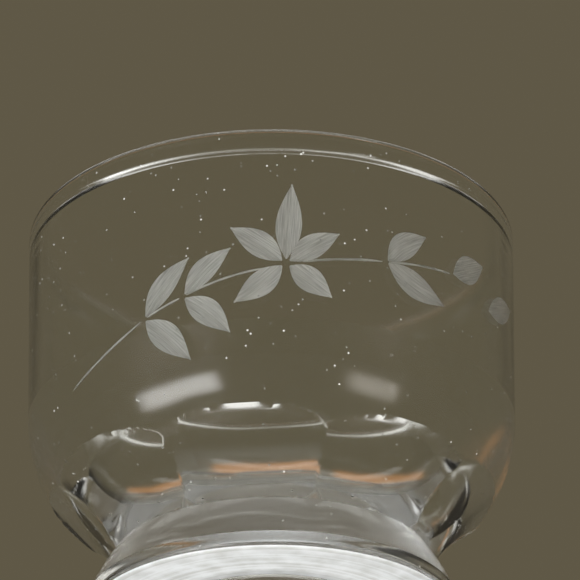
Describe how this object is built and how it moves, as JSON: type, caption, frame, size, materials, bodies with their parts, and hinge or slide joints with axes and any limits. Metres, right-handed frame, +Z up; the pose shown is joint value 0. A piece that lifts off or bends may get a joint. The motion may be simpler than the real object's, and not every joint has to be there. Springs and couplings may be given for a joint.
{
  "type": "pint glass",
  "caption": "Squat clear drinking glass with a beaded rim, a wheel-cut vine on a plain wall, scooped flutes round the lower body and a solid foot.",
  "frame": {"origin": "centre of the plane that the glass stands on", "axes": "+Z up along the glass's axis, -Y towards the cut flower"},
  "size_m": [0.105, 0.105, 0.0875],
  "materials": {
    "clear_glass": "clear, fire-polished, with fine scratches",
    "ground_glass": "wheel-ground matt grey-white"
  },
  "bodies": {
    "root": {"foot": "clear_glass", "fluted_body": "clear_glass", "bowl_wall": "clear_glass", "rim_bead": "clear_glass", "petal_top": "ground_glass", "petal_upper_right": "ground_glass", "petal_lower_right": "ground_glass", "petal_lower_left": "ground_glass", "petal_upper_left": "ground_glass", "leaf_1_upper": "ground_glass", "leaf_1_lower": "ground_glass", "leaf_2_upper": "ground_glass", "leaf_2_lower": "ground_glass", "leaf_3_upper": "ground_glass", "leaf_3_lower": "ground_glass", "leaf_4_lower": "ground_glass", "bud": "ground_glass", "stem_tail": "ground_glass", "stem_1": "ground_glass", "stem_2": "ground_glass", "stem_3": "ground_glass", "stem_4": "ground_glass"}
  },
  "joints": []
}
